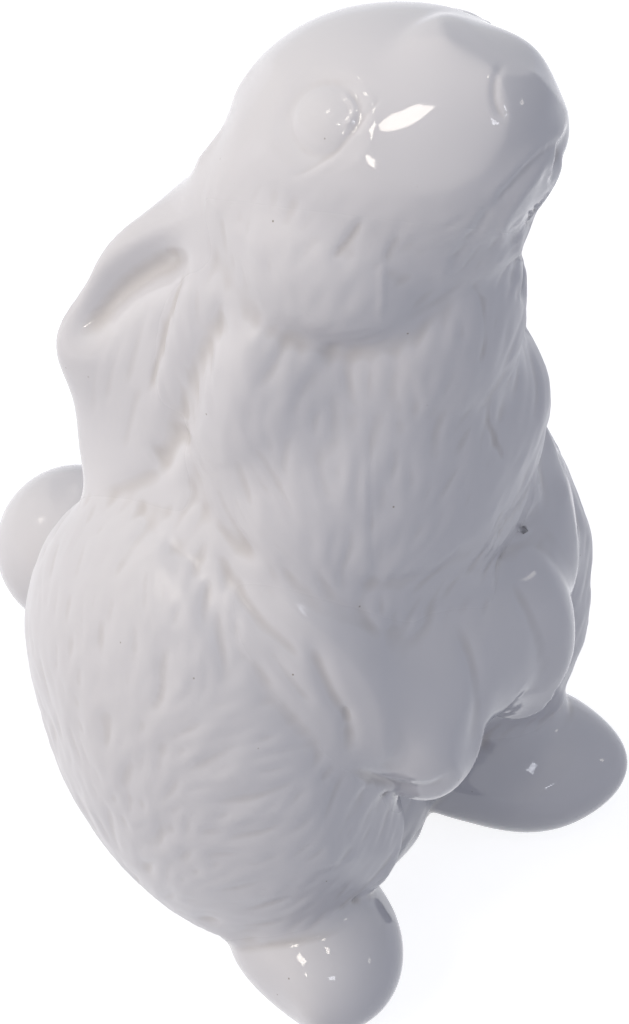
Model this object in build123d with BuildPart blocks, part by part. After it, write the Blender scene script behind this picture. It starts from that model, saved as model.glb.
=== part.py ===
"""A sitting lop-eared rabbit, slip cast in white porcelain and glazed.

Millimetres, +Z up. The rabbit faces -Y and its right side is at -X. The origin is the
middle of its resting face. Most forms are eggs: an outline of two quarter ellipses,
turned about its long axis and drawn out or in to its own depth. A form's place is
measured from the form that carries it.
"""
import os
from math import cos, radians, sin
from build123d import *

# Casting: the wall of the hollow trunk, its floor, and the hole that drains and vents it
wall = 4
floor = 5
vent_width = 9

# Trunk: a pear that leans forward, cut flat where it rests
trunk_width = 48
trunk_depth = 46
trunk_rise = 42
trunk_drop = 38
trunk_height = 34
trunk_lean = 10

# The fill between the hind feet
fill_width = 32
fill_depth = 17
fill_rise = 15
fill_height = 9
fill_forward = 15

# Chest: the furry ball above the forelegs
chest_width = 44
chest_depth = 36
chest_rise = 27
chest_drop = 18
chest_above = 31
chest_forward = 17
chest_lean = 6

# Back: one long form from the rump to the nape
back_width = 30
back_depth = 28
back_low_behind = 12
back_low_below = 4
back_high_behind = 6
back_high_above = 43

# Shoulders: they fill the neck out to the ears
shoulder_width = 24
shoulder_depth = 26
shoulder_rise = 21
shoulder_apart = 19
shoulder_behind = 5
shoulder_above = 15

# Throat: the front of the neck, up to the chin
throat_width = 24
throat_depth = 21
throat_rise = 20
throat_above = 24
throat_forward = 7
throat_lean = 5

# Head: a long form tipped back with its nose in the air, a blunt snout, a chin and full cheeks
head_width = 30.5
head_depth = 28.5
head_length = 41.5
head_above = 43.7
head_forward = 0.8
head_tip = 29
snout_width = 20.6
snout_rise = 10
snout_forward = 10.5
snout_above = 8.6
chin_width = 22
chin_depth = 18
chin_rise = 10
chin_forward = 9.2
chin_below = 2.6
cheek_width = 18
cheek_depth = 26
cheek_rise = 11
cheek_out = 8.8
cheek_forward = 0.2
cheek_below = 7.8
cheek_lean = -15

# Eyes: balls sunk in the sides of the head
eye_width = 9.6
eye_out = 9.2
eye_forward = 2.7
eye_above = 8.3

# Ears: lop ears laid back over the shoulders, scooped out on the outside under a thick rear rim
ear_width = 27.5
ear_thickness = 8
ear_root_out = 11.5
ear_root_behind = 9.5
ear_root_below = 6.8
ear_tip_in = 2.5
ear_tip_behind = 22.6
ear_tip_below = 8
ear_turn = -4
cup_width = 14
cup_rise = 13
cup_drop = 20
cup_sink = 2.8
cup_behind = 2
cup_above = 5

# Forelegs: from under the chest down to paws held together on the belly
foreleg_width = 18
foreleg_in = 2.5
foreleg_below = 1
wrist_out = 4
wrist_below = 5
paw_width = 15.5
paw_rise = 13
paw_apart = 17
paw_below = 23.5
paw_sink = 3.7
paw_lean = -9

# Haunches, hind feet and tail
haunch_width = 30
haunch_depth = 46
haunch_rise = 29
haunch_drop = 33
haunch_lean = -15
haunch_sink = 3.5
haunch_forward = 8.7
haunch_above = 2
foot_width = 20
foot_length = 29.5
foot_height = 15.5
foot_press = 2
foot_in = 1.8
foot_forward = 15.3
foot_splay = 30
tail_width = 21
tail_stand = 7
tail_height = 23.5

# Shares of a long egg's length at which it is widest, from its lower end
head_belly_share = 0.44
back_belly_share = 0.45
ear_belly_share = 0.52
foreleg_belly_share = 0.5
foot_belly_share = 0.58

right = -1
half = 0.5


def egg(width, depth, rise, drop):
    """An egg about the origin, standing on its long axis."""
    with BuildPart() as form:
        with BuildSketch(Plane.XZ):
            with BuildLine():
                EllipticalCenterArc((0, 0), width * half, rise, start_angle=0, arc_size=90)
                EllipticalCenterArc((0, 0), width * half, drop, start_angle=-90, arc_size=90)
                Line((0, -drop), (0, rise))
            make_face()
        revolve(axis=Axis.Z)
        scale(by=(1, depth / width, 1))
    return form.part


def long_egg(low, high, width, depth, belly_share, across=(1, 0, 0)):
    """An egg whose ends are at two points, and the seat that puts it there."""
    reach = high - low
    form = egg(width, depth, reach.length * (1 - belly_share), reach.length * belly_share)
    return form, Location(Plane(origin=low + reach * belly_share, x_dir=across, z_dir=reach))


def leaning(place, lean):
    """A seat tipped about the sideways axis: a positive lean is forward."""
    return Location(place, (lean, 0, 0))


# Body: trunk, fill, chest, back and throat cast as one
trunk_seat = leaning((0, 0, trunk_height), trunk_lean)
chest = Vector(0, -chest_forward, trunk_height + chest_above)
chest_seat = leaning(chest, chest_lean)
throat = chest + Vector(0, -throat_forward, throat_above)
rump = Vector(0, back_low_behind, trunk_height - back_low_below)
nape = chest + Vector(0, back_high_behind, back_high_above)
back_egg, back_seat = long_egg(rump, nape, back_width, back_depth, back_belly_share)
trunk_egg = egg(trunk_width, trunk_depth, trunk_rise, trunk_drop)
fill_egg = egg(fill_width, fill_depth, fill_rise, fill_rise)
chest_egg = egg(chest_width, chest_depth, chest_rise, chest_drop)
throat_egg = egg(throat_width, throat_depth, throat_rise, throat_rise)
shoulder_egg = egg(shoulder_width, shoulder_depth, shoulder_rise, shoulder_rise)
shoulder_places = [chest + Vector(side * shoulder_apart * half, shoulder_behind, shoulder_above) for side in (-1, 1)]

# Head forms, each from the middle of the head
middle = chest + Vector(0, -head_forward, head_above)
snout = middle + Vector(0, -snout_forward, snout_above)
chin = middle + Vector(0, -chin_forward, -chin_below)
cheek = middle + Vector(right * cheek_out, -cheek_forward, -cheek_below)
eye = middle + Vector(right * eye_out, -eye_forward, eye_above)
skull_egg = egg(head_width, head_depth, head_length * (1 - head_belly_share), head_length * head_belly_share)
snout_egg = egg(snout_width, snout_width, snout_rise, snout_rise)
chin_egg = egg(chin_width, chin_depth, chin_rise, chin_rise)
cheek_egg = egg(cheek_width, cheek_depth, cheek_rise, cheek_rise)
eye_egg = egg(eye_width, eye_width, eye_width * half, eye_width * half)

with BuildPart() as eye_right:
    with Locations(eye):
        add(eye_egg)

with BuildPart() as eye_left:
    mirror(eye_right.part, about=Plane.YZ)

with BuildPart() as closed_head:
    with Locations(leaning(middle, 90 - head_tip)):
        add(skull_egg)
    with Locations(snout):
        add(snout_egg)
    with Locations(chin):
        add(chin_egg)
    with Locations(leaning(cheek, cheek_lean)):
        add(cheek_egg)
    mirror(about=Plane.YZ)

with BuildPart() as head:
    add(closed_head.part)
    add(eye_right.part, mode=Mode.SUBTRACT)
    add(eye_left.part, mode=Mode.SUBTRACT)

with BuildPart() as closed_body:
    with Locations(trunk_seat):
        add(trunk_egg)
    with Locations((0, -fill_forward, fill_height)):
        add(fill_egg)
    with Locations(chest_seat):
        add(chest_egg)
    with Locations(back_seat):
        add(back_egg)
    with Locations(leaning(throat, throat_lean)):
        add(throat_egg)
    with Locations(*shoulder_places):
        add(shoulder_egg)
    add(closed_head.part, mode=Mode.SUBTRACT)
    split(bisect_by=Plane.XY, keep=Keep.TOP)

# The hollow: an inner trunk on a flat floor, and the vent through that floor
trunk_core = egg(trunk_width - 2 * wall, trunk_depth - 2 * wall, trunk_rise - wall, trunk_drop - wall)
with BuildPart() as hollow:
    with Locations(trunk_seat):
        add(trunk_core)
    split(bisect_by=Plane.XY.offset(floor), keep=Keep.TOP)
    with BuildSketch(Plane.XY):
        Circle(vent_width * half)
    extrude(amount=trunk_height)

with BuildPart() as body:
    add(closed_body.part)
    add(hollow.part, mode=Mode.SUBTRACT)

with BuildPart() as tail:
    with Locations((0, trunk_depth * half + tail_stand, tail_height)):
        add(egg(tail_width, tail_width, tail_width * half, tail_width * half))
    add(closed_body.part, mode=Mode.SUBTRACT)

# Foreleg: shoulder to wrist, with the paw's own egg, cut where the two paws meet
elbow = chest + Vector(right * (chest_width * half - foreleg_in), 0, -foreleg_below)
paw = chest + Vector(right * paw_apart * half, paw_sink - chest_depth * half, -paw_below)
wrist = paw + Vector(right * wrist_out, 0, -wrist_below)
foreleg_egg, foreleg_seat = long_egg(wrist, elbow, foreleg_width, foreleg_width, foreleg_belly_share)
with BuildPart() as foreleg_right:
    with Locations(foreleg_seat):
        add(foreleg_egg)
    with Locations(leaning(paw, paw_lean)):
        add(egg(paw_width, paw_width, paw_rise, paw_rise))
    split(bisect_by=Plane.YZ, keep=Keep.BOTTOM)
    add(closed_body.part, mode=Mode.SUBTRACT)

haunch = Vector(right * (trunk_width * half - haunch_sink), -haunch_forward, trunk_height + haunch_above)
with BuildPart() as haunch_right:
    with Locations(leaning(haunch, haunch_lean)):
        add(egg(haunch_width, haunch_depth, haunch_rise, haunch_drop))
    split(bisect_by=Plane.XY, keep=Keep.TOP)
    split(bisect_by=Plane.YZ, keep=Keep.BOTTOM)
    for neighbour in (closed_body, foreleg_right, tail):
        add(neighbour.part, mode=Mode.SUBTRACT)

# Hind foot: an egg lying down, blunt at the toe and pressed flat where it rests
foot_thickness = foot_height + foot_press
foot = Vector(haunch.X - right * foot_in, haunch.Y - foot_forward, foot_height - foot_thickness * half)
step = Vector(right * sin(radians(foot_splay)), -cos(radians(foot_splay)), 0) * foot_length * half
foot_egg, foot_seat = long_egg(foot - step, foot + step, foot_width, foot_thickness, foot_belly_share)
with BuildPart() as hind_foot_right:
    with Locations(foot_seat):
        add(foot_egg)
    split(bisect_by=Plane.XY, keep=Keep.TOP)
    for neighbour in (closed_body, haunch_right, foreleg_right):
        add(neighbour.part, mode=Mode.SUBTRACT)

# Ear: a flat egg from the back of the head down to the shoulder, with its cup scooped out
root = middle + Vector(right * ear_root_out, ear_root_behind, -ear_root_below)
tip = chest + Vector(right * (chest_width * half - ear_tip_in), ear_tip_behind, -ear_tip_below)
rearward = (sin(radians(ear_turn)), cos(radians(ear_turn)), 0)
ear_egg, ear_seat = long_egg(tip, root, ear_width, ear_thickness, ear_belly_share, rearward)
cup_seat = ear_seat * Location((cup_behind, ear_thickness * half, cup_above))
with BuildPart() as ear_right:
    with Locations(ear_seat):
        add(ear_egg)
    with Locations(cup_seat):
        add(egg(cup_width, cup_sink / half, cup_rise, cup_drop), mode=Mode.SUBTRACT)
    for neighbour in (closed_body, closed_head, haunch_right, foreleg_right):
        add(neighbour.part, mode=Mode.SUBTRACT)

pieces = {
    "body": body.part,
    "head": head.part,
    "tail": tail.part,
    "eye_right": eye_right.part,
    "eye_left": eye_left.part,
}
pairs = {"ear": ear_right, "foreleg": foreleg_right, "haunch": haunch_right, "hind_foot": hind_foot_right}
for name, piece in pairs.items():
    with BuildPart() as other_side:
        mirror(piece.part, about=Plane.YZ)
    pieces[name + "_right"] = piece.part
    pieces[name + "_left"] = other_side.part

# Set the figure so that its box is centred over the origin
centre = Compound(list(pieces.values())).bounding_box().center()
os.makedirs("parts", exist_ok=True)
for name, piece in pieces.items():
    seated = piece.moved(Location((-centre.X, -centre.Y, 0)))
    seated.label = name
    export_step(seated, f"parts/{name}.step")
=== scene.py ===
import math
import bpy
import numpy as np
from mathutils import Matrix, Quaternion, Vector, kdtree
from mathutils.bvhtree import BVHTree


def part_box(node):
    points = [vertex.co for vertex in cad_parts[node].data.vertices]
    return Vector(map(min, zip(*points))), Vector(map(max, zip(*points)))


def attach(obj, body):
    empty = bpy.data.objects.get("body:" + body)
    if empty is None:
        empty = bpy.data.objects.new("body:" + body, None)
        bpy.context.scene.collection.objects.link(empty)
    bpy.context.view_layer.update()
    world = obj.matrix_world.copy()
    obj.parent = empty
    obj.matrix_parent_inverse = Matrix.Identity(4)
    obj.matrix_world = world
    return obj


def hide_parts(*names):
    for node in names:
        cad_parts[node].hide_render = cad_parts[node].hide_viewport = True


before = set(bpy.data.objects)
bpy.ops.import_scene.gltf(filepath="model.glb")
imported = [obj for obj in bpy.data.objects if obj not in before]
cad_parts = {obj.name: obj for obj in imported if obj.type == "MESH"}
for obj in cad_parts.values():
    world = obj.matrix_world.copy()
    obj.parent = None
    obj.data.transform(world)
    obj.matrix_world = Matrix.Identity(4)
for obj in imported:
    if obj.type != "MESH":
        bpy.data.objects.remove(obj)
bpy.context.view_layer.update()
mm = 0.001
print("stage: frame loaded,", len(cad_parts), "nodes")


# Small helpers

def toLinear(hexColour):
    parts = [int(hexColour[i:i + 2], 16) / 255 for i in (1, 3, 5)]
    return tuple(p / 12.92 if p <= 0.04045 else ((p + 0.055) / 1.055) ** 2.4 for p in parts) + (1,)


def addNode(tree, kind, settings=None, inputs=None, links=None):
    node = tree.nodes.new(kind)
    for key, value in (settings or {}).items():
        setattr(node, key, value)
    for key, value in (inputs or {}).items():
        node.inputs[key].default_value = value
    for key, source in (links or {}).items():
        tree.links.new(source, node.inputs[key])
    return node


def pickOnly(*things):
    bpy.ops.object.select_all(action="DESELECT")
    for thing in things:
        thing.select_set(True)
    bpy.context.view_layer.objects.active = things[0]


def applyModifier(thing, kind, **settings):
    pickOnly(thing)
    modifier = thing.modifiers.new(kind.title(), kind)
    for key, value in settings.items():
        setattr(modifier, key, value)
    bpy.ops.object.modifier_apply(modifier=modifier.name)


def readPoints(mesh):
    values = np.empty(len(mesh.vertices) * 3, np.float32)
    mesh.vertices.foreach_get("co", values)
    return values.reshape(-1, 3).astype(float)


def readNormals(mesh):
    values = np.empty(len(mesh.vertices) * 3, np.float32)
    mesh.vertex_normals.foreach_get("vector", values)
    return values.reshape(-1, 3).astype(float)


def writePoints(mesh, points):
    mesh.vertices.foreach_set("co", points.astype(np.float32).ravel())
    mesh.update()


# The photograph's view. The figure is shaped through it: a traced line is a row of pixels in its frame

photoView = {
    "width": 629, "height": 1024,
    "middle": (314, 512),
    "focalPixels": 3450,
    "azimuth": -50, "elevation": 42,
    "distance": 400 * mm,
    "targetAheadOfTail": 49.5 * mm,
    "targetHeight": 52 * mm,
    "cell": 6,               # pixels over which the front surface is found
    "cellDepth": 3 * mm,
    "leastFacing": 0.05,     # a point that the camera sees flatter than this counts as hidden
    "hidden": 9,             # stands for a place far outside an oval
}


def makeCamera():
    a, e = math.radians(photoView["azimuth"]), math.radians(photoView["elevation"])
    back = Vector((math.sin(a) * math.cos(e), -math.cos(a) * math.cos(e), math.sin(e)))
    target = Vector((0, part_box("tail")[1].y - photoView["targetAheadOfTail"], photoView["targetHeight"]))
    data = bpy.data.cameras.new("camera")
    data.sensor_width = 36
    data.lens = photoView["focalPixels"] / photoView["height"] * data.sensor_width      # along the long side
    data.clip_start, data.clip_end = 0.01, 20
    camera = bpy.data.objects.new("camera", data)
    camera.location = target + back * photoView["distance"]
    camera.rotation_mode = "QUATERNION"
    camera.rotation_quaternion = (-back).to_track_quat("-Z", "Y")
    bpy.context.collection.objects.link(camera)
    bpy.context.scene.camera = camera
    return camera


camera = makeCamera()
cameraPlace = np.array(camera.location)
cameraAxes = np.array(camera.rotation_quaternion.to_matrix())      # its columns point right, up and back


def toPixels(points):
    right, up, back = ((points - cameraPlace) @ cameraAxes).T
    scale = -photoView["focalPixels"] / back
    return np.stack((right * scale, -up * scale), axis=1) + photoView["middle"], -back


def lookAt(mesh, bothSides):      # where each point shows in the photograph, and whether it does
    points, normals = readPoints(mesh), readNormals(mesh)
    if bothSides:                 # the far side is folded onto the near one, so that one trace shapes both
        turn = np.where(points[:, :1] > 0, (-1, 1, 1), (1, 1, 1))
        points, normals = points * turn, normals * turn
    pixels, depth = toPixels(points)
    towards = cameraPlace - points
    facing = (normals * towards).sum(axis=1) / np.linalg.norm(towards, axis=1)
    cells = np.floor(pixels / photoView["cell"]).astype(int)
    cells = (cells - cells.min(axis=0)) @ (1, photoView["width"])
    nearest = np.full(cells.max() + 1, np.inf)
    np.minimum.at(nearest, cells, depth)
    inFront = depth < nearest[cells] + photoView["cellDepth"]
    return pixels, (facing > photoView["leastFacing"]) & inFront


# One fused casting from the CAD forms

casting = {
    "voxel": 0.45 * mm,
    "merge": 0.001 * mm,
    "creaseSteps": 30,       # how far slip and glaze round the creases between forms
    "blendSteps": 90,        # each round of the softer blending inside one form
    "blendRounds": 4,
    "formMargin": 20,        # rings of points along a form's edge that the blending leaves alone
    "pawMargin": 10,
    "chestFrom": 45 * mm,    # the height where the chest's blending starts
    "chestFade": 10 * mm,
    "evenSteps": 4,          # last, over the whole casting
    "keepBulge": 0.95,       # share of what softening took off the round forms and is given back
    "ventRadius": 4.9 * mm,
    "ventAheadOfTail": 40.5 * mm,
    "floorTop": 4 * mm,
    "wall": 1.2 * mm,
    "wallShare": 0.65,       # faces left when the wall's inner side, which nobody sees, is thinned out
    "fillSegments": 48,
    "fillRings": 32,
    "borderRounds": 24,      # rounds of votes that straighten the ragged line where two forms meet
}

# Slip that fills the figure out where two forms meet: middle, half sizes and tilt about X, right side at -X
fills = {
    "nape": {"middle": (-9, -8.4, 104.5), "half": (6.2, 6.2, 11), "tilt": 30, "bothSides": True},
    "earRoot": {"middle": (-9, -2.6, 94.3), "half": (6.4, 6.4, 11), "tilt": 30, "bothSides": True},
    "betweenPaws": {"middle": (0.5, -30.8, 44), "half": (9.5, 8.8, 11), "tilt": 0, "bothSides": False},
    "belly": {"middle": (-14.5, -28, 23), "half": (6, 5.5, 10), "tilt": 0, "bothSides": False},
}


def mergeDoubles(thing):
    pickOnly(thing)
    bpy.ops.object.mode_set(mode="EDIT")
    bpy.ops.mesh.select_all(action="SELECT")
    bpy.ops.mesh.remove_doubles(threshold=casting["merge"])
    bpy.ops.object.mode_set(mode="OBJECT")


def copyForms():
    copies, owners = [], []
    for number, name in enumerate(sorted(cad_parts)):
        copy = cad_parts[name].copy()
        copy.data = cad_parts[name].data.copy()
        copy.parent = None
        bpy.context.collection.objects.link(copy)
        mergeDoubles(copy)
        owners += [number] * len(copy.data.polygons)
        copies.append(copy)
    pickOnly(*copies)
    bpy.ops.object.join()
    return copies[0], np.array(owners)


def makeFill(middle, half, tilt):
    bpy.ops.object.select_all(action="DESELECT")
    bpy.ops.mesh.primitive_uv_sphere_add(
        segments=casting["fillSegments"], ring_count=casting["fillRings"], radius=1)
    fill = bpy.context.object
    fill.scale = [size * mm for size in half]
    fill.rotation_euler.x = math.radians(tilt)
    fill.location = [place * mm for place in middle]
    bpy.ops.object.transform_apply(location=True, rotation=True, scale=True)
    return fill


def fuseForms():
    joined, owners = copyForms()
    mesh = joined.data
    forms = BVHTree.FromPolygons([v.co[:] for v in mesh.vertices], [p.vertices[:] for p in mesh.polygons])
    made = []
    for fill in fills.values():
        for side in (1, -1) if fill["bothSides"] else (1,):
            x, y, z = fill["middle"]
            made.append(makeFill((x * side, y, z), fill["half"], fill["tilt"]))
    pickOnly(joined, *made)
    bpy.ops.object.join()
    applyModifier(joined, "REMESH", mode="VOXEL", voxel_size=casting["voxel"])
    return joined, forms, owners


def selectPoints(thing, chosen):      # leaves the thing in edit mode
    pickOnly(thing)
    bpy.ops.object.mode_set(mode="EDIT")
    bpy.ops.mesh.select_mode(type="VERT")
    bpy.ops.mesh.select_all(action="DESELECT")
    bpy.ops.object.mode_set(mode="OBJECT")
    thing.data.vertices.foreach_set("select", chosen)
    bpy.ops.object.mode_set(mode="EDIT")


def dropHollow(fused):      # the casting gets its wall later, so the inner skin of the hollow goes
    points = readPoints(fused.data)
    ventMiddle = np.array((0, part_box("tail")[1].y - casting["ventAheadOfTail"]))
    inVent = np.linalg.norm(points[:, :2] - ventMiddle, axis=1) < casting["ventRadius"]
    selectPoints(fused, inVent & (points[:, 2] > mm) & (points[:, 2] < casting["floorTop"]))
    bpy.ops.mesh.delete(type="VERT")
    bpy.ops.mesh.separate(type="LOOSE")
    bpy.ops.object.mode_set(mode="OBJECT")
    islands = sorted(bpy.context.selected_objects, key=lambda thing: -len(thing.data.vertices))
    for island in islands[1:]:
        bpy.data.objects.remove(island)
    return islands[0]


fused, forms, owners = fuseForms()
fused = dropHollow(fused)
print("stage: fused,", len(fused.data.polygons), "faces")


# Softening: neighbouring points are averaged, and only what fills a crease is kept

def readEdges(mesh):
    edges = np.empty(len(mesh.edges) * 2, np.int32)
    mesh.edges.foreach_get("vertices", edges)
    return edges.reshape(-1, 2)


def average(values, edges):
    a, b = edges.T
    count = np.maximum(np.bincount(a, minlength=len(values)) + np.bincount(b, minlength=len(values)), 1)
    columns = values.reshape(len(values), -1).T
    size = len(values)
    total = [np.bincount(a, column[b], size) + np.bincount(b, column[a], size) for column in columns]
    return (np.stack(total, axis=1) / count[:, None]).reshape(values.shape)


def blur(values, edges, steps):
    for _ in range(steps):
        values = (values + average(values, edges)) / 2
    return values


def relax(mesh, weights, steps, fillOnly=False):
    points, normals, edges = readPoints(mesh), readNormals(mesh), readEdges(mesh)
    moving = weights > 0.001
    edges = edges[moving[edges].any(axis=1)]
    used, local = np.unique(edges, return_inverse=True)
    local = local.reshape(edges.shape)
    moved, share = points[used], weights[used][:, None]
    for _ in range(steps):
        moved = moved + (average(moved, local) - moved) * share * 0.5
    shift = moved - points[used]
    if fillOnly:
        rise = (shift * normals[used]).sum(axis=1)
        rise = np.where(rise > 0, rise, rise * (1 - casting["keepBulge"]))
        shift = normals[used] * rise[:, None]
    points[used] += shift
    writePoints(mesh, points)


def ownersOfPoints(mesh):
    return np.array([owners[forms.find_nearest(v.co)[2]] for v in mesh.vertices])


names = sorted(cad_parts)
mesh = fused.data
pointOwners = ownersOfPoints(mesh)
edges = readEdges(mesh)


def belongsTo(*wanted):
    return np.isin(pointOwners, [names.index(name) for name in wanted])


def inside(own, edges, margin):      # 1 well inside a form, 0 at its edges
    return np.clip(blur(own.astype(float), edges, margin) * 2 - 1, 0, 1)


relax(mesh, np.ones(len(mesh.vertices)), casting["creaseSteps"], fillOnly=True)
points = readPoints(mesh)
headShare = inside(belongsTo("head"), edges, casting["formMargin"])
chestShare = inside(belongsTo("body"), edges, casting["formMargin"])
chestShare *= np.clip((points[:, 2] - casting["chestFrom"]) / casting["chestFade"], 0, 1)
for _ in range(casting["blendRounds"]):
    relax(mesh, np.maximum(headShare, chestShare), casting["blendSteps"], fillOnly=True)
pawShare = blur(belongsTo("foreleg_right", "foreleg_left").astype(float), edges, casting["pawMargin"])
relax(mesh, pawShare, casting["blendSteps"], fillOnly=True)
relax(mesh, np.ones(len(mesh.vertices)), casting["evenSteps"])
print("stage: softened")


# Tracing: a line drawn on the photograph becomes a groove or a ridge on the figure

def rounded(line, steps=5):
    line = np.array(line, float)
    ends = np.vstack((2 * line[0] - line[1], line, 2 * line[-1] - line[-2]))
    t = np.linspace(0, 1, steps, endpoint=False)[:, None]
    spans = [
        (2 * b + (c - a) * t + (2 * a - 5 * b + 4 * c - d) * t**2 + (3 * b - a - 3 * c + d) * t**3) / 2
        for a, b, c, d in zip(ends, ends[1:], ends[2:], ends[3:])
    ]
    return np.vstack(spans + [line[-1:]])


def alongLine(pixels, line):      # distance from the line, the side of it, and how far along it
    steps = np.diff(line, axis=0)
    lengths = np.linalg.norm(steps, axis=1)
    passed = np.concatenate(([0], np.cumsum(lengths)))
    gap, side, share = np.full(len(pixels), np.inf), np.zeros(len(pixels)), np.zeros(len(pixels))
    for start, step, length, before in zip(line, steps, lengths, passed):
        off = pixels - start
        along = np.clip(off @ step / length**2, 0, 1)
        distance = np.linalg.norm(off - along[:, None] * step, axis=1)
        closer = distance < gap
        gap[closer] = distance[closer]
        share[closer] = ((before + along * length) / passed[-1])[closer]
        side[closer] = (step[0] * off[:, 1] - step[1] * off[:, 0])[closer]
    return gap, side, share


def ease(t):
    t = np.clip(t, 0, 1)
    return t * t * (3 - 2 * t)


plainTaper = 0.25      # share of a trace's length over which it rises to its full depth, at each end


def carve(mesh, traces, bothSides=True):
    pixels, shown = lookAt(mesh, bothSides)
    height = np.zeros(len(pixels))
    for trace in traces:
        line = rounded(trace["line"])
        widths = trace["width"], trace.get("leftWidth", trace["width"])
        reach = 3 * max(widths)
        near = (pixels > line.min(axis=0) - reach) & (pixels < line.max(axis=0) + reach)
        near = np.flatnonzero(shown & near.all(axis=1))
        gap, side, share = alongLine(pixels[near], line)
        width = np.where(side > 0, *widths)      # of the line's right side, and of its left
        start, end = trace.get("start", plainTaper), trace.get("end", plainTaper)
        taper = ease(np.minimum(share / start, (1 - share) / end))
        height[near] -= trace["depth"] * mm * taper * np.exp(-((gap / width) ** 2))
    writePoints(mesh, readPoints(mesh) + readNormals(mesh) * height[:, None])


def ringShare(mesh, middle, reach, turn=0, bothSides=True):      # 0 in the middle of an oval, 1 on its rim
    pixels, shown = lookAt(mesh, bothSides)
    a = math.radians(turn)
    across, down = (pixels - middle).T
    along, beside = math.cos(a), math.sin(a)
    turned = np.stack((across * along + down * beside, down * along - across * beside))
    ring = np.linalg.norm(turned / np.array(reach)[:, None], axis=0)
    ring[~shown] = photoView["hidden"]
    return ring


def lineShare(mesh, line, width):      # 1 on a traced line, fading to 0 at 4/3 of the width beside it
    pixels, shown = lookAt(mesh, True)
    share = np.zeros(len(pixels))
    near = np.flatnonzero(shown)
    gap, _, _ = alongLine(pixels[near], rounded(line))
    share[near] = ease(2 - gap / width * 1.5)
    return share


def refine(thing, chosen):      # halves the faces between the chosen points
    selectPoints(thing, chosen)
    bpy.ops.mesh.subdivide(number_cuts=1)
    bpy.ops.object.mode_set(mode="OBJECT")


# Where one form runs into the next with no crease: a line or an oval on the photograph, and how many rounds
# of averaging that takes
soothed = {
    "nape": {"line": [(236, 100), (200, 150), (165, 190), (120, 235)], "width": 40, "steps": 300},
    "earFront": {"line": [(196, 236), (186, 290), (174, 340), (166, 400), (168, 450)],
                 "width": 24, "steps": 250},
    "earTip": {"line": [(190, 446), (160, 470), (120, 486), (84, 490)], "width": 26, "steps": 300},
    "neckSide": {"line": [(224, 262), (216, 330), (198, 400), (188, 450), (198, 500), (230, 545)],
                 "width": 24, "steps": 250},
    "jowl": {"line": [(212, 232), (240, 304), (300, 346), (378, 352), (430, 322), (474, 262)],
             "width": 16, "steps": 60},
    "arm": {"line": [(205, 525), (226, 556), (258, 620), (314, 672), (345, 716), (350, 760)],
            "width": 26, "steps": 260},
    "shoulder": {"oval": ((200, 508), (60, 50), 20), "steps": 500},
    "farArm": {"oval": ((530, 505), (30, 66), 28), "steps": 350, "bothSides": False},
    "farBrow": {"oval": ((496, 30), (62, 40), 30), "steps": 500, "bothSides": False},
    "muzzle": {"oval": ((425, 115), (85, 80), 0), "steps": 500},
    "earFace": {"oval": ((120, 345), (64, 150), 12), "steps": 600},
    "lap": {"oval": ((478, 660), (98, 112), 12), "steps": 700, "bothSides": False},
    "underPaw": {"oval": ((512, 744), (62, 56), 0), "steps": 900, "bothSides": False},
    "belly": {"oval": ((372, 825), (50, 65), 0), "steps": 250, "bothSides": False},
    "ankle": {"line": [(206, 920), (250, 912), (300, 906), (345, 898), (386, 886)],
              "width": 26, "steps": 300},
}

# Where the outline on the photograph lies off the plain forms: a pixel, how far round it and how far to push,
# in pixels to the right and up
pushed = {
    "earHem": {"at": (68, 418), "reach": 90, "shift": (11, 0), "bothSides": True},
    "earBack": {"at": (112, 238), "reach": 80, "shift": (-5, 3), "bothSides": True},
    "earEdge": {"at": (70, 342), "reach": 80, "shift": (-19, 0), "bothSides": True},
    "nape": {"at": (205, 143), "reach": 60, "shift": (5, -3), "bothSides": True},
    "haunchBack": {"at": (44, 722), "reach": 110, "shift": (6, 0), "bothSides": True},
    "haunchFoot": {"at": (568, 676), "reach": 46, "shift": (-26, 6), "bothSides": False},
    "farToes": {"at": (610, 762), "reach": 80, "shift": (13, 0), "bothSides": False},
    "nearToes": {"at": (266, 1004), "reach": 80, "shift": (21, 0), "bothSides": False},
    "farHeel": {"at": (442, 812), "reach": 40, "shift": (-10, 0), "bothSides": False},
    "ankleSide": {"at": (226, 936), "reach": 36, "shift": (-5, 0), "bothSides": False},
    "chestSide": {"at": (534, 390), "reach": 85, "shift": (13, 0), "bothSides": False},
    "throatSide": {"at": (526, 283), "reach": 22, "shift": (-11, 0), "bothSides": False},
    "farHaunch": {"at": (584, 540), "reach": 62, "shift": (6, 0), "bothSides": False},
    "brow": {"at": (530, 52), "reach": 62, "shift": (5, 6), "bothSides": False},
    "lip": {"at": (564, 156), "reach": 32, "shift": (-13, 0), "bothSides": False},
}

anchorPoints = 12      # points that show nearest to a pixel and tell where on the figure it is

# Eye and snout get faces half the size: an oval, and what shows right of and below a corner, down to a row
refined = {
    "eye": ((330, 130), (75, 75)),
    "snoutCorner": (440, 55),
    "snoutDown": 300,
}

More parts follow.
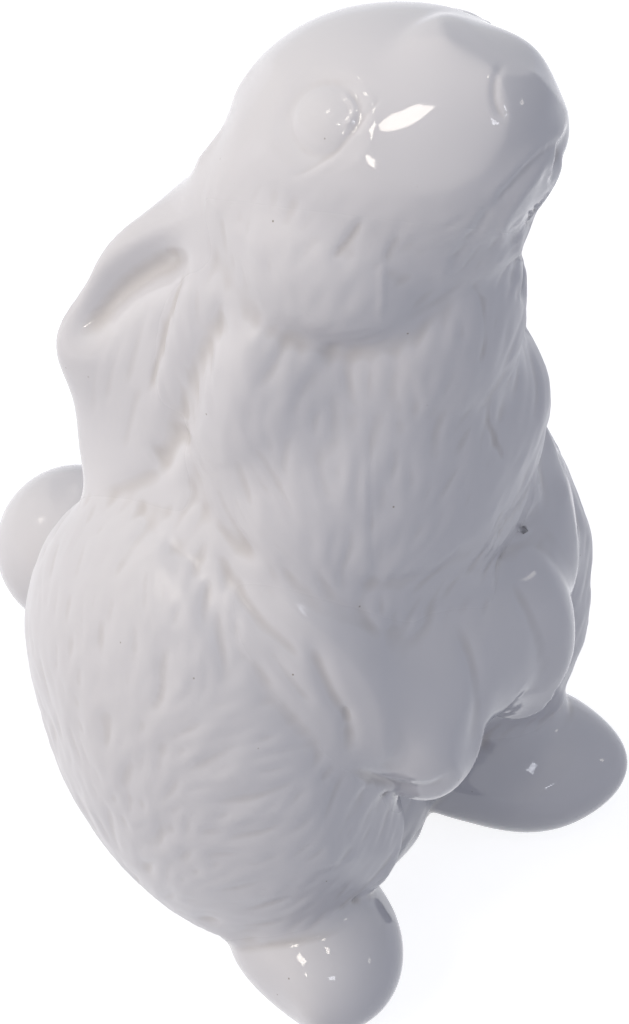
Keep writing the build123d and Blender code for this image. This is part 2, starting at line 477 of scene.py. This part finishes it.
ear = {
    "evenMargin": 8,
    "evenSteps": 110,      # evens out the pushed outline
    "traces": [
        {"line": [(196, 244), (160, 262), (124, 284), (98, 308), (82, 336), (74, 362)],
         "width": 19, "leftWidth": 22, "depth": 2.2, "start": 0.3, "end": 0.3},
        {"line": [(206, 208), (160, 228), (116, 254), (84, 288), (66, 326)], "width": 12, "depth": -0.35},
        {"line": [(184, 266), (174, 299), (163, 336), (155, 369), (146, 400)], "width": 3.5, "depth": 0.3},
        {"line": [(200, 250), (190, 289), (177, 329), (168, 360), (162, 400), (158, 440)],
         "width": 9, "depth": -0.5},
        {"line": [(222, 292), (205, 334), (189, 369), (178, 404), (169, 438), (160, 458)],
         "width": 17, "depth": 1.4},
        {"line": [(184, 430), (168, 448), (148, 462)], "width": 14, "depth": 0.8},
        {"line": [(184, 450), (166, 464), (146, 478), (118, 490), (92, 496)], "width": 11, "depth": 0.35},
        {"line": [(150, 300), (136, 344), (124, 392)], "width": 5, "depth": 0.1},
        {"line": [(128, 322), (112, 364), (104, 410)], "width": 5, "depth": 0.1},
        {"line": [(140, 380), (130, 420), (122, 456)], "width": 5, "depth": 0.1},
        {"line": [(104, 340), (94, 380), (92, 420)], "width": 5, "depth": 0.08},
    ],
}

eye = {
    "socket": ((322, 121), (40, 44), 20),
    "socketSteps": 1500,
    "socketFade": 2.6,
    "ball": ((324, 119), (33, 36), 20),
    "ballRise": 0.5 * mm,
    "ballPower": 1.5,
    "ringDepth": 0.12 * mm,
    "ringWidth": 0.2,
    "ringAt": 1.05,
    "traces": [
        {"line": [(384, 93), (362, 83), (338, 80), (314, 84), (297, 97), (287, 112), (283, 130), (287, 147)],
         "width": 7, "depth": 0.14},
        {"line": [(383, 94), (367, 113), (357, 127), (346, 139), (337, 151), (322, 162), (304, 172),
                  (284, 178)],
         "width": 3, "depth": 0.1, "start": 0.1, "end": 0.15},
        {"line": [(339, 90), (350, 101), (354, 110), (350, 120), (341, 130)], "width": 3.5, "depth": -0.2},
        {"line": [(378, 112), (362, 132), (344, 150), (322, 168), (300, 180)], "width": 6, "depth": -0.1},
    ],
}

muzzle = {
    "traces": [
        {"line": [(550, 147), (532, 163), (518, 178), (502, 196), (490, 212)],
         "width": 5, "depth": 0.25, "start": 0.1},
        {"line": [(543, 140), (526, 156), (512, 171), (495, 189), (482, 206)], "width": 6, "depth": -0.12},
        {"line": [(496, 200), (482, 222), (462, 250), (446, 276)], "width": 6, "depth": 0.3},
    ],
    "farTraces": [
        {"line": [(506, 60), (496, 76), (494, 96), (499, 112), (511, 122)], "width": 4.5, "depth": 0.2},
        {"line": [(557, 150), (545, 161), (536, 177), (525, 190), (515, 205), (505, 221), (502, 240),
                  (499, 266)],
         "width": 6, "depth": -0.25},
        {"line": [(552, 162), (547, 185), (536, 208), (527, 232)], "width": 8, "depth": 0.35},
    ],
}

coat = {      # the deepest strands and creases of the carved coat
    "traces": [
        {"line": [(212, 232), (222, 268), (240, 304), (266, 330), (300, 346), (340, 354), (378, 352),
                  (408, 341), (430, 322), (452, 294), (474, 262), (492, 232)],
         "width": 12, "depth": 0.4, "start": 0.1, "end": 0.1},
        {"line": [(366, 214), (349, 238), (328, 264)], "width": 3.5, "depth": 0.2},
        {"line": [(402, 232), (388, 252), (378, 272)], "width": 3.5, "depth": 0.14},
        {"line": [(384, 240), (382, 270), (381, 300), (379, 330)], "width": 3, "depth": -0.16},
        {"line": [(371, 420), (370, 470), (371, 520), (373, 578)], "width": 3, "depth": 0.12},
        {"line": [(184, 452), (192, 488), (212, 520), (240, 548), (268, 568)], "width": 11, "depth": 0.45},
        {"line": [(333, 576), (375, 588), (424, 583), (463, 562), (496, 532)], "width": 12, "depth": 0.6},
        {"line": [(222, 548), (234, 584), (258, 620), (290, 650), (314, 672)], "width": 9, "depth": 0.4},
        {"line": [(262, 640), (282, 668), (300, 692), (318, 708)], "width": 6, "depth": 0.2},
        {"line": [(305, 634), (318, 664), (332, 695), (345, 716), (349, 740), (345, 764)],
         "width": 9, "depth": 0.5},
        {"line": [(344, 709), (347, 717), (348, 725)], "width": 3.5, "depth": 0.4},
        {"line": [(345, 768), (372, 780), (400, 788), (432, 789), (458, 770)], "width": 7, "depth": 0.6},
        {"line": [(454, 616), (468, 648), (477, 684), (477, 724), (466, 762)], "width": 8, "depth": 0.35},
        {"line": [(366, 626), (386, 618), (408, 620), (424, 630)], "width": 16, "depth": -0.6},
    ],
    "farTraces": [
        {"line": [(520, 218), (521, 229), (518, 245), (518, 269), (523, 300)], "width": 4, "depth": -0.3},
        {"line": [(519, 296), (523, 315), (519, 342), (508, 369), (497, 393), (492, 415), (497, 431),
                  (508, 447)],
         "width": 4, "depth": -0.3},
        {"line": [(517, 330), (505, 369), (496, 392), (489, 415), (500, 450), (512, 474)],
         "width": 4, "depth": 0.3},
        {"line": [(470, 278), (482, 300), (486, 324), (484, 352), (478, 376)], "width": 4, "depth": 0.2},
        {"line": [(508, 500), (492, 541), (478, 563), (459, 584)], "width": 4, "depth": 0.35},
    ],
}


def sootheForms(mesh):
    for place in soothed.values():
        if "line" in place:
            share = lineShare(mesh, place["line"], place["width"])
        else:
            share = ease(2 - 2 * ringShare(mesh, *place["oval"], place.get("bothSides", True)))
        relax(mesh, share, place["steps"])


def pushForms(mesh):
    for place in pushed.values():
        points = readPoints(mesh)
        pixels, shown = lookAt(mesh, False)
        away = np.linalg.norm(pixels - place["at"], axis=1)
        away[~shown] = np.inf
        middle = points[np.argsort(away)[:anchorPoints]].mean(axis=0)
        pixel = photoView["distance"] / photoView["focalPixels"]
        right, up = place["shift"]
        shift = (cameraAxes[:, 0] * right + cameraAxes[:, 1] * up) * pixel
        sides = ((1, 1, 1), (-1, 1, 1)) if place["bothSides"] else ((1, 1, 1),)
        for side in sides:
            gap = np.linalg.norm(points - middle * side, axis=1) / (place["reach"] * pixel)
            points += ease(1 - gap)[:, None] * shift * side
        writePoints(mesh, points)


def shapeEyes(mesh):
    middle, reach, turn = eye["socket"]
    relax(mesh, ease(eye["socketFade"] - 2 * ringShare(mesh, middle, reach, turn)), eye["socketSteps"])
    middle, reach, turn = eye["ball"]
    ring = ringShare(mesh, middle, reach, turn)
    rise = eye["ballRise"] * np.clip(1 - ring**2, 0, 1) ** eye["ballPower"]
    rise -= eye["ringDepth"] * np.exp(-(((ring - eye["ringAt"]) / eye["ringWidth"]) ** 2))
    writePoints(mesh, readPoints(mesh) + readNormals(mesh) * rise[:, None])


sootheForms(mesh)
pushForms(mesh)
earShare = blur(belongsTo("ear_right", "ear_left").astype(float), edges, ear["evenMargin"])
relax(mesh, earShare, ear["evenSteps"])
refine(fused, ringShare(mesh, *refined["eye"]) < 1)
mesh = fused.data
pixels, shown = lookAt(mesh, False)
onSnout = (pixels > refined["snoutCorner"]).all(axis=1) & (pixels[:, 1] < refined["snoutDown"])
refine(fused, shown & onSnout)
mesh = fused.data
pointOwners = ownersOfPoints(mesh)
shapeEyes(mesh)
carve(mesh, ear["traces"] + eye["traces"] + muzzle["traces"] + coat["traces"])
carve(mesh, muzzle["farTraces"] + coat["farTraces"], bothSides=False)
print("stage: traced,", len(mesh.polygons), "faces")


# Carved fur: soft strokes that follow the lie of the coat, first the broad locks and then the strands

fur = {
    "seed": 11,
    "step": 0.5 * mm,
    "turn": 0.12,            # how far a whole stroke is turned off the lie of the coat, in radians
    "waver": 0.2,            # how far it swings to either side on its way
    "phase": (0, 6),         # where its swing starts, in radians
    "beat": (0.2, 0.4),      # how much of the swing passes at each step, in radians
    "leastShare": 0.1,       # below this the form is bare
    "shortest": 0.7,         # a stroke that comes out shorter than this share of the least length is left out
    "widths": (0.75, 1.25),  # a stroke's width and depth vary by these
    "depths": (0.6, 1.4),
    "taper": 0.7,            # the lower, the blunter its ends
    "reach": 2.2,            # in widths
    "clear": 0.7,            # share of the spacing that a stroke keeps free of the next
    "groove": 1.2,
    "rim": 0.3,              # a low rise on both sides of the groove
    "softSteps": 2,
    "fullSteps": 60,
    "keepFull": 0.9,         # share of the carved-off volume that is given back around the strokes
}

# By form: how closely strokes lie, their width, depth and length
furKinds = {
    "locks": {
        "haunch": {"apart": 5 * mm, "width": 1.9 * mm, "depth": 0.3 * mm, "length": (7 * mm, 16 * mm)},
        "body": {"apart": 5 * mm, "width": 1.8 * mm, "depth": 0.26 * mm, "length": (8 * mm, 16 * mm)},
        "foreleg": {"apart": 5 * mm, "width": 1.6 * mm, "depth": 0.14 * mm, "length": (5 * mm, 10 * mm)},
        "head": {"apart": 4.5 * mm, "width": 1.4 * mm, "depth": 0.14 * mm, "length": (4 * mm, 9 * mm)},
    },
    "strands": {
        "haunch": {"apart": 1.7 * mm, "width": 0.7 * mm, "depth": 0.17 * mm, "length": (4 * mm, 12 * mm)},
        "body": {"apart": 1.8 * mm, "width": 0.75 * mm, "depth": 0.17 * mm, "length": (5 * mm, 13 * mm)},
        "foreleg": {"apart": 2.4 * mm, "width": 0.8 * mm, "depth": 0.1 * mm, "length": (3 * mm, 8 * mm)},
        "head": {"apart": 1.8 * mm, "width": 0.65 * mm, "depth": 0.1 * mm, "length": (3 * mm, 8 * mm)},
        "tail": {"apart": 3 * mm, "width": 0.8 * mm, "depth": 0.05 * mm, "length": (3 * mm, 6 * mm)},
    },
}

# The lie of the coat on the photograph: a pixel, and the angle that hair lies at there (90 is straight down)
lie = [
    (190, 520, 125), (130, 545, 135), (85, 560, 135), (165, 590, 100), (215, 590, 92), (120, 660, 115),
    (60, 620, 110), (190, 650, 97), (240, 640, 80), (270, 670, 62), (250, 715, 165), (200, 725, 150),
    (150, 740, 125), (100, 740, 120), (270, 760, 160), (220, 780, 145), (160, 800, 122), (240, 850, 145),
    (180, 860, 125), (300, 850, 130), (350, 790, 100), (350, 860, 95),
    (205, 390, 112), (200, 440, 92), (215, 480, 75), (240, 530, 60), (255, 390, 108), (265, 450, 86),
    (285, 520, 76), (310, 400, 102), (305, 470, 92), (370, 420, 90), (370, 540, 90), (440, 430, 85),
    (440, 500, 97), (430, 560, 112), (480, 350, 72), (490, 450, 82), (490, 530, 112), (520, 400, 95),
    (540, 480, 105), (500, 260, 78),
    (250, 200, 130), (300, 210, 130), (350, 240, 127), (240, 260, 118), (400, 260, 122), (450, 220, 132),
    (400, 310, 112), (300, 300, 118),
    (430, 660, 76), (465, 690, 82), (400, 640, 90), (300, 600, 58), (350, 680, 80),
    (560, 520, 110), (550, 600, 122), (520, 640, 114), (500, 700, 118),
]


# How much coat each place has: the cheek's starts along a slanting line, the paw's fades downwards
coatPlaces = {
    "evenOver": 100,         # square pixels over which the lie doesn't change
    "tailShare": 0.35,
    "cheekFrom": (250, 165),
    "cheekSlope": 0.12,
    "cheekFade": 50,
    "pawFrom": 640,
    "pawFade": 80,
    "pawShare": 0.2,
    "bareFoot": 1,           # mm above the floor without any
    "footFade": 4,
    "softSteps": 6,
}


def coatFlow(points, normals):      # a side that the photograph doesn't show is like the side that it shows
    towards = cameraPlace - points
    turn = np.where((normals * towards).sum(axis=1, keepdims=True) < 0, (-1, 1, 1), (1, 1, 1))
    pixels, _ = toPixels(points * turn)
    total = np.zeros((len(points), 2))
    for u, v, angle in lie:
        weight = 1 / (coatPlaces["evenOver"] + ((pixels - (u, v)) ** 2).sum(axis=1)) ** 2
        total += weight[:, None] * (math.cos(math.radians(angle)), math.sin(math.radians(angle)))
    flow = (total[:, :1] * cameraAxes[:, 0] - total[:, 1:] * cameraAxes[:, 1]) * turn
    flow -= normals * (flow * normals).sum(axis=1, keepdims=True)
    return flow / np.maximum(np.linalg.norm(flow, axis=1, keepdims=True), 1e-12)


def furShare(mesh, points):
    pixels, _ = toPixels(points * np.where(points[:, :1] > 0, (-1, 1, 1), (1, 1, 1)))
    z = points[:, 2] / mm
    share = np.ones(len(points))
    share[belongsTo("ear_right", "ear_left", "eye_right", "eye_left")] = 0
    share[belongsTo("hind_foot_right", "hind_foot_left")] = 0
    share[belongsTo("tail")] = coatPlaces["tailShare"]
    left, top = coatPlaces["cheekFrom"]
    below = pixels[:, 1] - top - coatPlaces["cheekSlope"] * (pixels[:, 0] - left)
    share = np.where(belongsTo("head"), ease(below / coatPlaces["cheekFade"]), share)
    least = coatPlaces["pawShare"]
    paw = ease((coatPlaces["pawFrom"] - pixels[:, 1]) / coatPlaces["pawFade"]) * (1 - least) + least
    share = np.where(belongsTo("foreleg_right", "foreleg_left"), paw, share)
    share = blur(share, readEdges(mesh), coatPlaces["softSteps"])
    return share * ease((z - coatPlaces["bareFoot"]) / coatPlaces["footFade"])


def carveFur(mesh, kinds, share, flow):
    random = np.random.default_rng(fur["seed"])
    points, normals = readPoints(mesh), readNormals(mesh)
    tree = kdtree.KDTree(len(points))
    for number, point in enumerate(points):
        tree.insert(point, number)
    tree.balance()
    height, taken, strokes = np.zeros(len(points)), np.zeros(len(points), bool), 0

    def follow(seed, way, reach, turn, phase, beat):
        at, number, path = points[seed].copy(), seed, []
        for step in range(int(reach / fur["step"])):
            side = np.cross(normals[number], flow[number])
            swing = turn + fur["waver"] * math.sin(phase + way * step * beat)
            heading = (flow[number] + side * swing) * way
            at = at + heading / np.linalg.norm(heading) * fur["step"]
            number = tree.find(at)[1]
            at -= normals[number] * ((at - points[number]) @ normals[number])
            if share[number] < fur["leastShare"] or taken[number]:
                break
            path.append(at.copy())
        return path

    for seed in random.permutation(np.flatnonzero(share > fur["leastShare"])):
        kind = kinds.get(names[pointOwners[seed]].split("_")[0])
        if taken[seed] or not kind:
            continue
        length = random.uniform(*kind["length"])
        bend = random.normal(0, fur["turn"]), random.uniform(*fur["phase"]), random.uniform(*fur["beat"])
        path = follow(seed, -1, length / 2, *bend)[::-1] + [points[seed]] + follow(seed, 1, length / 2, *bend)
        if len(path) * fur["step"] < kind["length"][0] * fur["shortest"]:
            taken[seed] = True
            continue
        width = kind["width"] * random.uniform(*fur["widths"])
        depth = kind["depth"] * random.uniform(*fur["depths"])
        nearest, tapers = {}, {}
        for step, place in enumerate(path):
            taper = math.sin(math.pi * (step + 0.5) / len(path)) ** fur["taper"]
            for _, near, gap in tree.find_range(place, fur["reach"] * width):
                if gap < nearest.get(near, 1):
                    nearest[near], tapers[near] = gap, taper
        for near, gap in nearest.items():
            groove = fur["groove"] * math.exp(-((gap / width) ** 2))
            rim = fur["rim"] * math.exp(-((gap / width / 2) ** 2))
            height[near] -= (groove - rim) * depth * tapers[near] * share[near]
            taken[near] |= gap < kind["apart"] * fur["clear"]
        strokes += 1
    height = blur(height, readEdges(mesh), fur["softSteps"])
    height -= blur(height, readEdges(mesh), fur["fullSteps"]) * fur["keepFull"]
    writePoints(mesh, points + normals * height[:, None])
    print("stage: fur,", strokes, "strokes")


coatShare = furShare(mesh, readPoints(mesh))
lieOfCoat = coatFlow(readPoints(mesh), readNormals(mesh))
for kinds in furKinds.values():
    carveFur(mesh, kinds, coatShare, lieOfCoat)
relax(mesh, np.ones(len(mesh.vertices)), 1)


# Painted shade in the hollows, tinted brownish like dirt, and the form that each face belongs to

creaseShadeAndCoat = {
    "creaseShadeSteps": 14,         # how wide a hollow is that gets painted shade
    "creaseShadeDepth": 0.12 * mm,
    "coatSteps": 10,
}


def markCreaseShadeAndCoat(mesh):
    edges = readEdges(mesh)
    points = readPoints(mesh)
    # How far each point lies below its surroundings: the material paints shade into the creases by this
    rise = ((blur(points, edges, creaseShadeAndCoat["creaseShadeSteps"]) - points) * readNormals(mesh)).sum(axis=1)
    creaseShade = mesh.attributes.new("creaseShade", "FLOAT", "POINT")
    creaseShade.data.foreach_set("value", np.clip(rise / creaseShadeAndCoat["creaseShadeDepth"], -1, 1).astype(np.float32))
    carved = mesh.attributes.new("carved", "FLOAT", "POINT")
    carved.data.foreach_set("value", blur(coatShare, edges, creaseShadeAndCoat["coatSteps"]).astype(np.float32))


def labelFaces(mesh):
    corners = np.empty(len(mesh.loops), int)
    mesh.loops.foreach_get("vertex_index", corners)
    starts, counts = np.empty(len(mesh.polygons), int), np.empty(len(mesh.polygons), int)
    mesh.polygons.foreach_get("loop_start", starts)
    mesh.polygons.foreach_get("loop_total", counts)
    kinds = len(names)
    votes = np.zeros((len(mesh.vertices), kinds))
    votes[np.arange(len(pointOwners)), pointOwners] = 1
    for _ in range(casting["borderRounds"]):
        labels = np.add.reduceat(votes[corners], starts).argmax(axis=1)
        votes = np.bincount(corners * kinds + np.repeat(labels, counts), minlength=len(votes) * kinds)
        votes = votes.reshape(-1, kinds).astype(float)
    return labels


markCreaseShadeAndCoat(mesh)
labels = labelFaces(mesh)
print("stage: labelled,", np.bincount(labels))


# White porcelain, slip cast and dipped in a clear glossy glaze: even white clay with a cold cast, a hard
# shine, broken up by the carved coat, and painted shade in the creases, a warmer grey with a brownish dirt
# tint

porcelain = {
    "clay": "#E4E4E8",
    "thinGlaze": "#EAE9EA",      # mixed into the clay at random, in patches set by the clouds
    "creaseShadeAndDirt": "#C6C0BA",    # painted shade in the creases, warm grey with a brownish dirt tint
    "speck": "#8A7C6E",
    "creaseShadeFrom": 0.05,
    "creaseShadeMost": 0.5,             # share of the painted crease shade in the deepest crease
    "rareSpecks": (0.93, 0.97),  # of the places for a speck, only the last few in a hundred have one
    "speckEdge": (0.1, 0.02),
    "glazeIor": 1.52,
    "glazeRoughness": 0.05,      # on the smooth forms
    "coatRoughness": 0.32,       # on the carved coat, where the glaze is thin and its shine is broken up
    "cloudSize": 18,             # mm across a patch that is a little warmer or colder
    "speckSize": 1.6,            # mm between the fine iron specks
    "rippleSize": 2.2,           # mm across the ripple of the glaze
    "rippleHeight": 0.01 * mm,
}


perMetre = 1000      # a texture's scale is this over a size in mm


def makePorcelain():
    material = bpy.data.materials.new("glazedPorcelain")
    material.use_nodes = True
    tree = material.node_tree
    shader = tree.nodes["Principled BSDF"]
    place = addNode(tree, "ShaderNodeTexCoord").outputs["Object"]
    creaseShade = addNode(tree, "ShaderNodeAttribute", {"attribute_name": "creaseShade"}).outputs["Fac"]
    clouds = addNode(tree, "ShaderNodeTexNoise", links={"Vector": place},
                     inputs={"Scale": perMetre / porcelain["cloudSize"], "Detail": 3}).outputs["Fac"]
    base = addNode(tree, "ShaderNodeMix", {"data_type": "RGBA"},
                   {6: toLinear(porcelain["clay"]), 7: toLinear(porcelain["thinGlaze"])}, {"Factor": clouds})
    # Painted shade: the deeper the crease, the more of the warm grey, brownish crease colour
    creaseShadeShare = addNode(tree, "ShaderNodeMapRange", links={"Value": creaseShade},
                     inputs={"From Min": porcelain["creaseShadeFrom"], "To Max": porcelain["creaseShadeMost"]})
    creased = addNode(tree, "ShaderNodeMix", {"data_type": "RGBA"}, {7: toLinear(porcelain["creaseShadeAndDirt"])},
                      {"Factor": creaseShadeShare.outputs["Result"], 6: base.outputs[2]})
    cells = addNode(tree, "ShaderNodeTexVoronoi", inputs={"Scale": perMetre / porcelain["speckSize"]},
                    links={"Vector": place}).outputs
    rare = addNode(tree, "ShaderNodeSeparateColor", links={"Color": cells["Color"]})
    fewest, most = porcelain["rareSpecks"]
    chosen = addNode(tree, "ShaderNodeMapRange", inputs={"From Min": fewest, "From Max": most},
                     links={"Value": rare.outputs["Red"]})
    outside, within = porcelain["speckEdge"]
    dot = addNode(tree, "ShaderNodeMapRange", inputs={"From Min": outside, "From Max": within},
                  links={"Value": cells["Distance"]})
    specks = addNode(tree, "ShaderNodeMath", {"operation": "MULTIPLY"},
                     links={0: chosen.outputs["Result"], 1: dot.outputs["Result"]})
    speckled = addNode(tree, "ShaderNodeMix", {"data_type": "RGBA"}, {7: toLinear(porcelain["speck"])},
                       {"Factor": specks.outputs["Value"], 6: creased.outputs[2]})
    ripple = addNode(tree, "ShaderNodeTexNoise", links={"Vector": place},
                     inputs={"Scale": perMetre / porcelain["rippleSize"], "Detail": 1})
    bump = addNode(tree, "ShaderNodeBump", inputs={"Distance": porcelain["rippleHeight"]},
                   links={"Height": ripple.outputs["Fac"]})
    carved = addNode(tree, "ShaderNodeAttribute", {"attribute_name": "carved"})
    shine = addNode(tree, "ShaderNodeMapRange", links={"Value": carved.outputs["Fac"]},
                    inputs={"To Min": porcelain["glazeRoughness"], "To Max": porcelain["coatRoughness"]})
    tree.links.new(shine.outputs["Result"], shader.inputs["Roughness"])
    tree.links.new(speckled.outputs[2], shader.inputs["Base Color"])
    tree.links.new(bump.outputs["Normal"], shader.inputs["Normal"])
    shader.inputs["IOR"].default_value = porcelain["glazeIor"]
    return material


# The split into the modelled forms, each with a wall like the cast one

def splitForms(fused, labels):
    mesh = fused.data
    skin = mesh.attributes.new("skinNormal", "FLOAT_VECTOR", "POINT")
    skin.data.foreach_set("vector", readNormals(mesh).astype(np.float32).ravel())
    mesh.materials.clear()
    for name in sorted(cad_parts):
        mesh.materials.append(bpy.data.materials.new(name))
    mesh.polygons.foreach_set("material_index", labels.astype(np.int32))
    pickOnly(fused)
    bpy.ops.object.mode_set(mode="EDIT")
    bpy.ops.mesh.select_all(action="SELECT")
    bpy.ops.mesh.separate(type="MATERIAL")
    bpy.ops.object.mode_set(mode="OBJECT")
    return {piece.data.materials[0].name: piece for piece in bpy.context.selected_objects}


def addWall(piece):
    mesh = piece.data
    mesh.materials.clear()
    for _ in range(2):      # the second slot marks the inner side and the edges
        mesh.materials.append(porcelainMaterial)
    piece.vertex_groups.new(name="inside")
    applyModifier(piece, "SOLIDIFY", thickness=casting["wall"], offset=-1, shell_vertex_group="inside",
                  material_offset=1, material_offset_rim=1)
    applyModifier(piece, "DECIMATE", ratio=casting["wallShare"], vertex_group="inside")
    mesh = piece.data
    slots, totals = np.empty(len(mesh.polygons), np.int32), np.empty(len(mesh.polygons), np.int32)
    mesh.polygons.foreach_get("material_index", slots)
    mesh.polygons.foreach_get("loop_total", totals)
    corners = np.empty(len(mesh.loops), np.int32)
    mesh.loops.foreach_get("vertex_index", corners)
    skin = np.empty(len(mesh.vertices) * 3, np.float32)
    mesh.attributes["skinNormal"].data.foreach_get("vector", skin)
    normals = skin.reshape(-1, 3)[corners]
    normals[np.repeat(slots, totals) > 0] = 0      # zero leaves these as they are
    mesh.polygons.foreach_set("use_smooth", np.ones(len(mesh.polygons), bool))
    mesh.normals_split_custom_set(normals.tolist())
    mesh.polygons.foreach_set("material_index", np.zeros(len(mesh.polygons), np.int32))
    mesh.materials.pop()
    mesh.attributes.remove(mesh.attributes["skinNormal"])
    piece.vertex_groups.clear()


porcelainMaterial = makePorcelain()
for name, piece in splitForms(fused, labels).items():
    addWall(piece)
    piece.name = name + "_glazed"
    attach(piece, "root")
    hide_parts(name)
    print("stage:", piece.name, sum(len(face.vertices) - 2 for face in piece.data.polygons), "triangles")


# Floor, light and background

studio = {
    "floorSize": 3,
    "floorColour": "#B9BBC2",
    "floorGlow": 0.85,           # seen on top of it by the camera and by reflections, so that it is white
    "floorRoughness": 0.9,
    "roomColour": "#E3E9FF",
    "roomStrength": 0.31,
}

# Each lamp: the way to it from the figure, its distance, its size in metres, its turn about its own axis in
# degrees, its power in watts and its colour, and whether the glaze mirrors it
lamps = {
    "softWindow": ((-0.8, 0.52, 0.3), 1.3, (1.1, 1.1), 0, 5.2, "#FFF1E0", False),
    "softCeiling": ((-0.25, 0.6, 0.76), 1.3, (1, 1), 0, 4.2, "#FFFAF2", False),
    "windowPane": ((-0.736, 0.1, 0.667), 1.2, (0.22, 0.27), -8, 1.9, "#FFF6EA", True),
    "windowEdge": ((-0.9, -0.04, 0.43), 1.2, (0.07, 0.1), 0, 0.25, "#FFF6EA", True),
    "ceilingLamp": ((-0.2, -0.28, 0.93), 1.2, (0.09, 0.14), 0, 0.4, "#FFF6EA", True),
    "deskLamp": ((-0.53, -0.62, 0.58), 1.2, (0.19, 0.12), 0, 0.5, "#F4F6FF", True),
    "sideLamp": ((-0.434, 0.596, 0.676), 1.2, (0.1, 0.16), 0, 0.3, "#FFF6EA", True),
    "farLamp": ((0.46, -0.8, 0.39), 1.2, (0.1, 0.1), 0, 0.12, "#FFF6EA", True),
}


def showsBackdrop(tree):      # 1 where the camera, a reflection or a clear material sees this straight
    rays = addNode(tree, "ShaderNodeLightPath").outputs
    both = addNode(tree, "ShaderNodeMath", {"operation": "MAXIMUM"},
                   links={0: rays["Is Camera Ray"], 1: rays["Is Transmission Ray"]})
    return addNode(tree, "ShaderNodeMath", {"operation": "MAXIMUM"},
                   links={0: both.outputs["Value"], 1: rays["Is Glossy Ray"]}).outputs["Value"]


def makeFloor():
    bpy.ops.mesh.primitive_plane_add(size=studio["floorSize"])
    floor = bpy.context.object
    floor.name = "floor"
    material = bpy.data.materials.new("paleFloor")
    material.use_nodes = True
    tree = material.node_tree
    shader = tree.nodes["Principled BSDF"]
    shader.inputs["Base Color"].default_value = toLinear(studio["floorColour"])
    shader.inputs["Roughness"].default_value = studio["floorRoughness"]
    shader.inputs["Specular IOR Level"].default_value = 0
    glow = addNode(tree, "ShaderNodeMath", {"operation": "MULTIPLY"}, {1: studio["floorGlow"]},
                   {0: showsBackdrop(tree)})
    shader.inputs["Emission Color"].default_value = (1, 1, 1, 1)
    tree.links.new(glow.outputs["Value"], shader.inputs["Emission Strength"])
    floor.data.materials.append(material)


def makeWorld():
    world = bpy.data.worlds.new("studio")
    world.use_nodes = True
    tree = world.node_tree
    room = tree.nodes["Background"]
    room.inputs["Color"].default_value = toLinear(studio["roomColour"])
    room.inputs["Strength"].default_value = studio["roomStrength"]
    backdrop = addNode(tree, "ShaderNodeBackground", inputs={"Strength": 1})
    backdrop.inputs["Color"].default_value = (1, 1, 1, 1)
    layers = {0: showsBackdrop(tree), 1: room.outputs["Background"], 2: backdrop.outputs["Background"]}
    mixed = addNode(tree, "ShaderNodeMixShader", links=layers)
    tree.links.new(mixed.outputs["Shader"], tree.nodes["World Output"].inputs["Surface"])
    bpy.context.scene.world = world


def addLamp(name, towards, distance, size, turn, power, colour, mirrored):
    data = bpy.data.lights.new(name, "AREA")
    data.shape = "RECTANGLE"
    data.size, data.size_y = size
    data.energy = power
    data.color = toLinear(colour)[:3]
    lamp = bpy.data.objects.new(name, data)
    towards = Vector(towards).normalized()
    lamp.location = Vector((0, 0, photoView["targetHeight"])) + towards * distance
    lamp.rotation_mode = "QUATERNION"
    lamp.rotation_quaternion = towards.to_track_quat("Z", "Y") @ Quaternion((0, 0, 1), math.radians(turn))
    lamp.visible_glossy = mirrored
    bpy.context.collection.objects.link(lamp)


makeFloor()
makeWorld()
for name, lamp in lamps.items():
    addLamp(name, *lamp)
bpy.context.scene.view_settings.view_transform = "Standard"
print("stage: studio made")
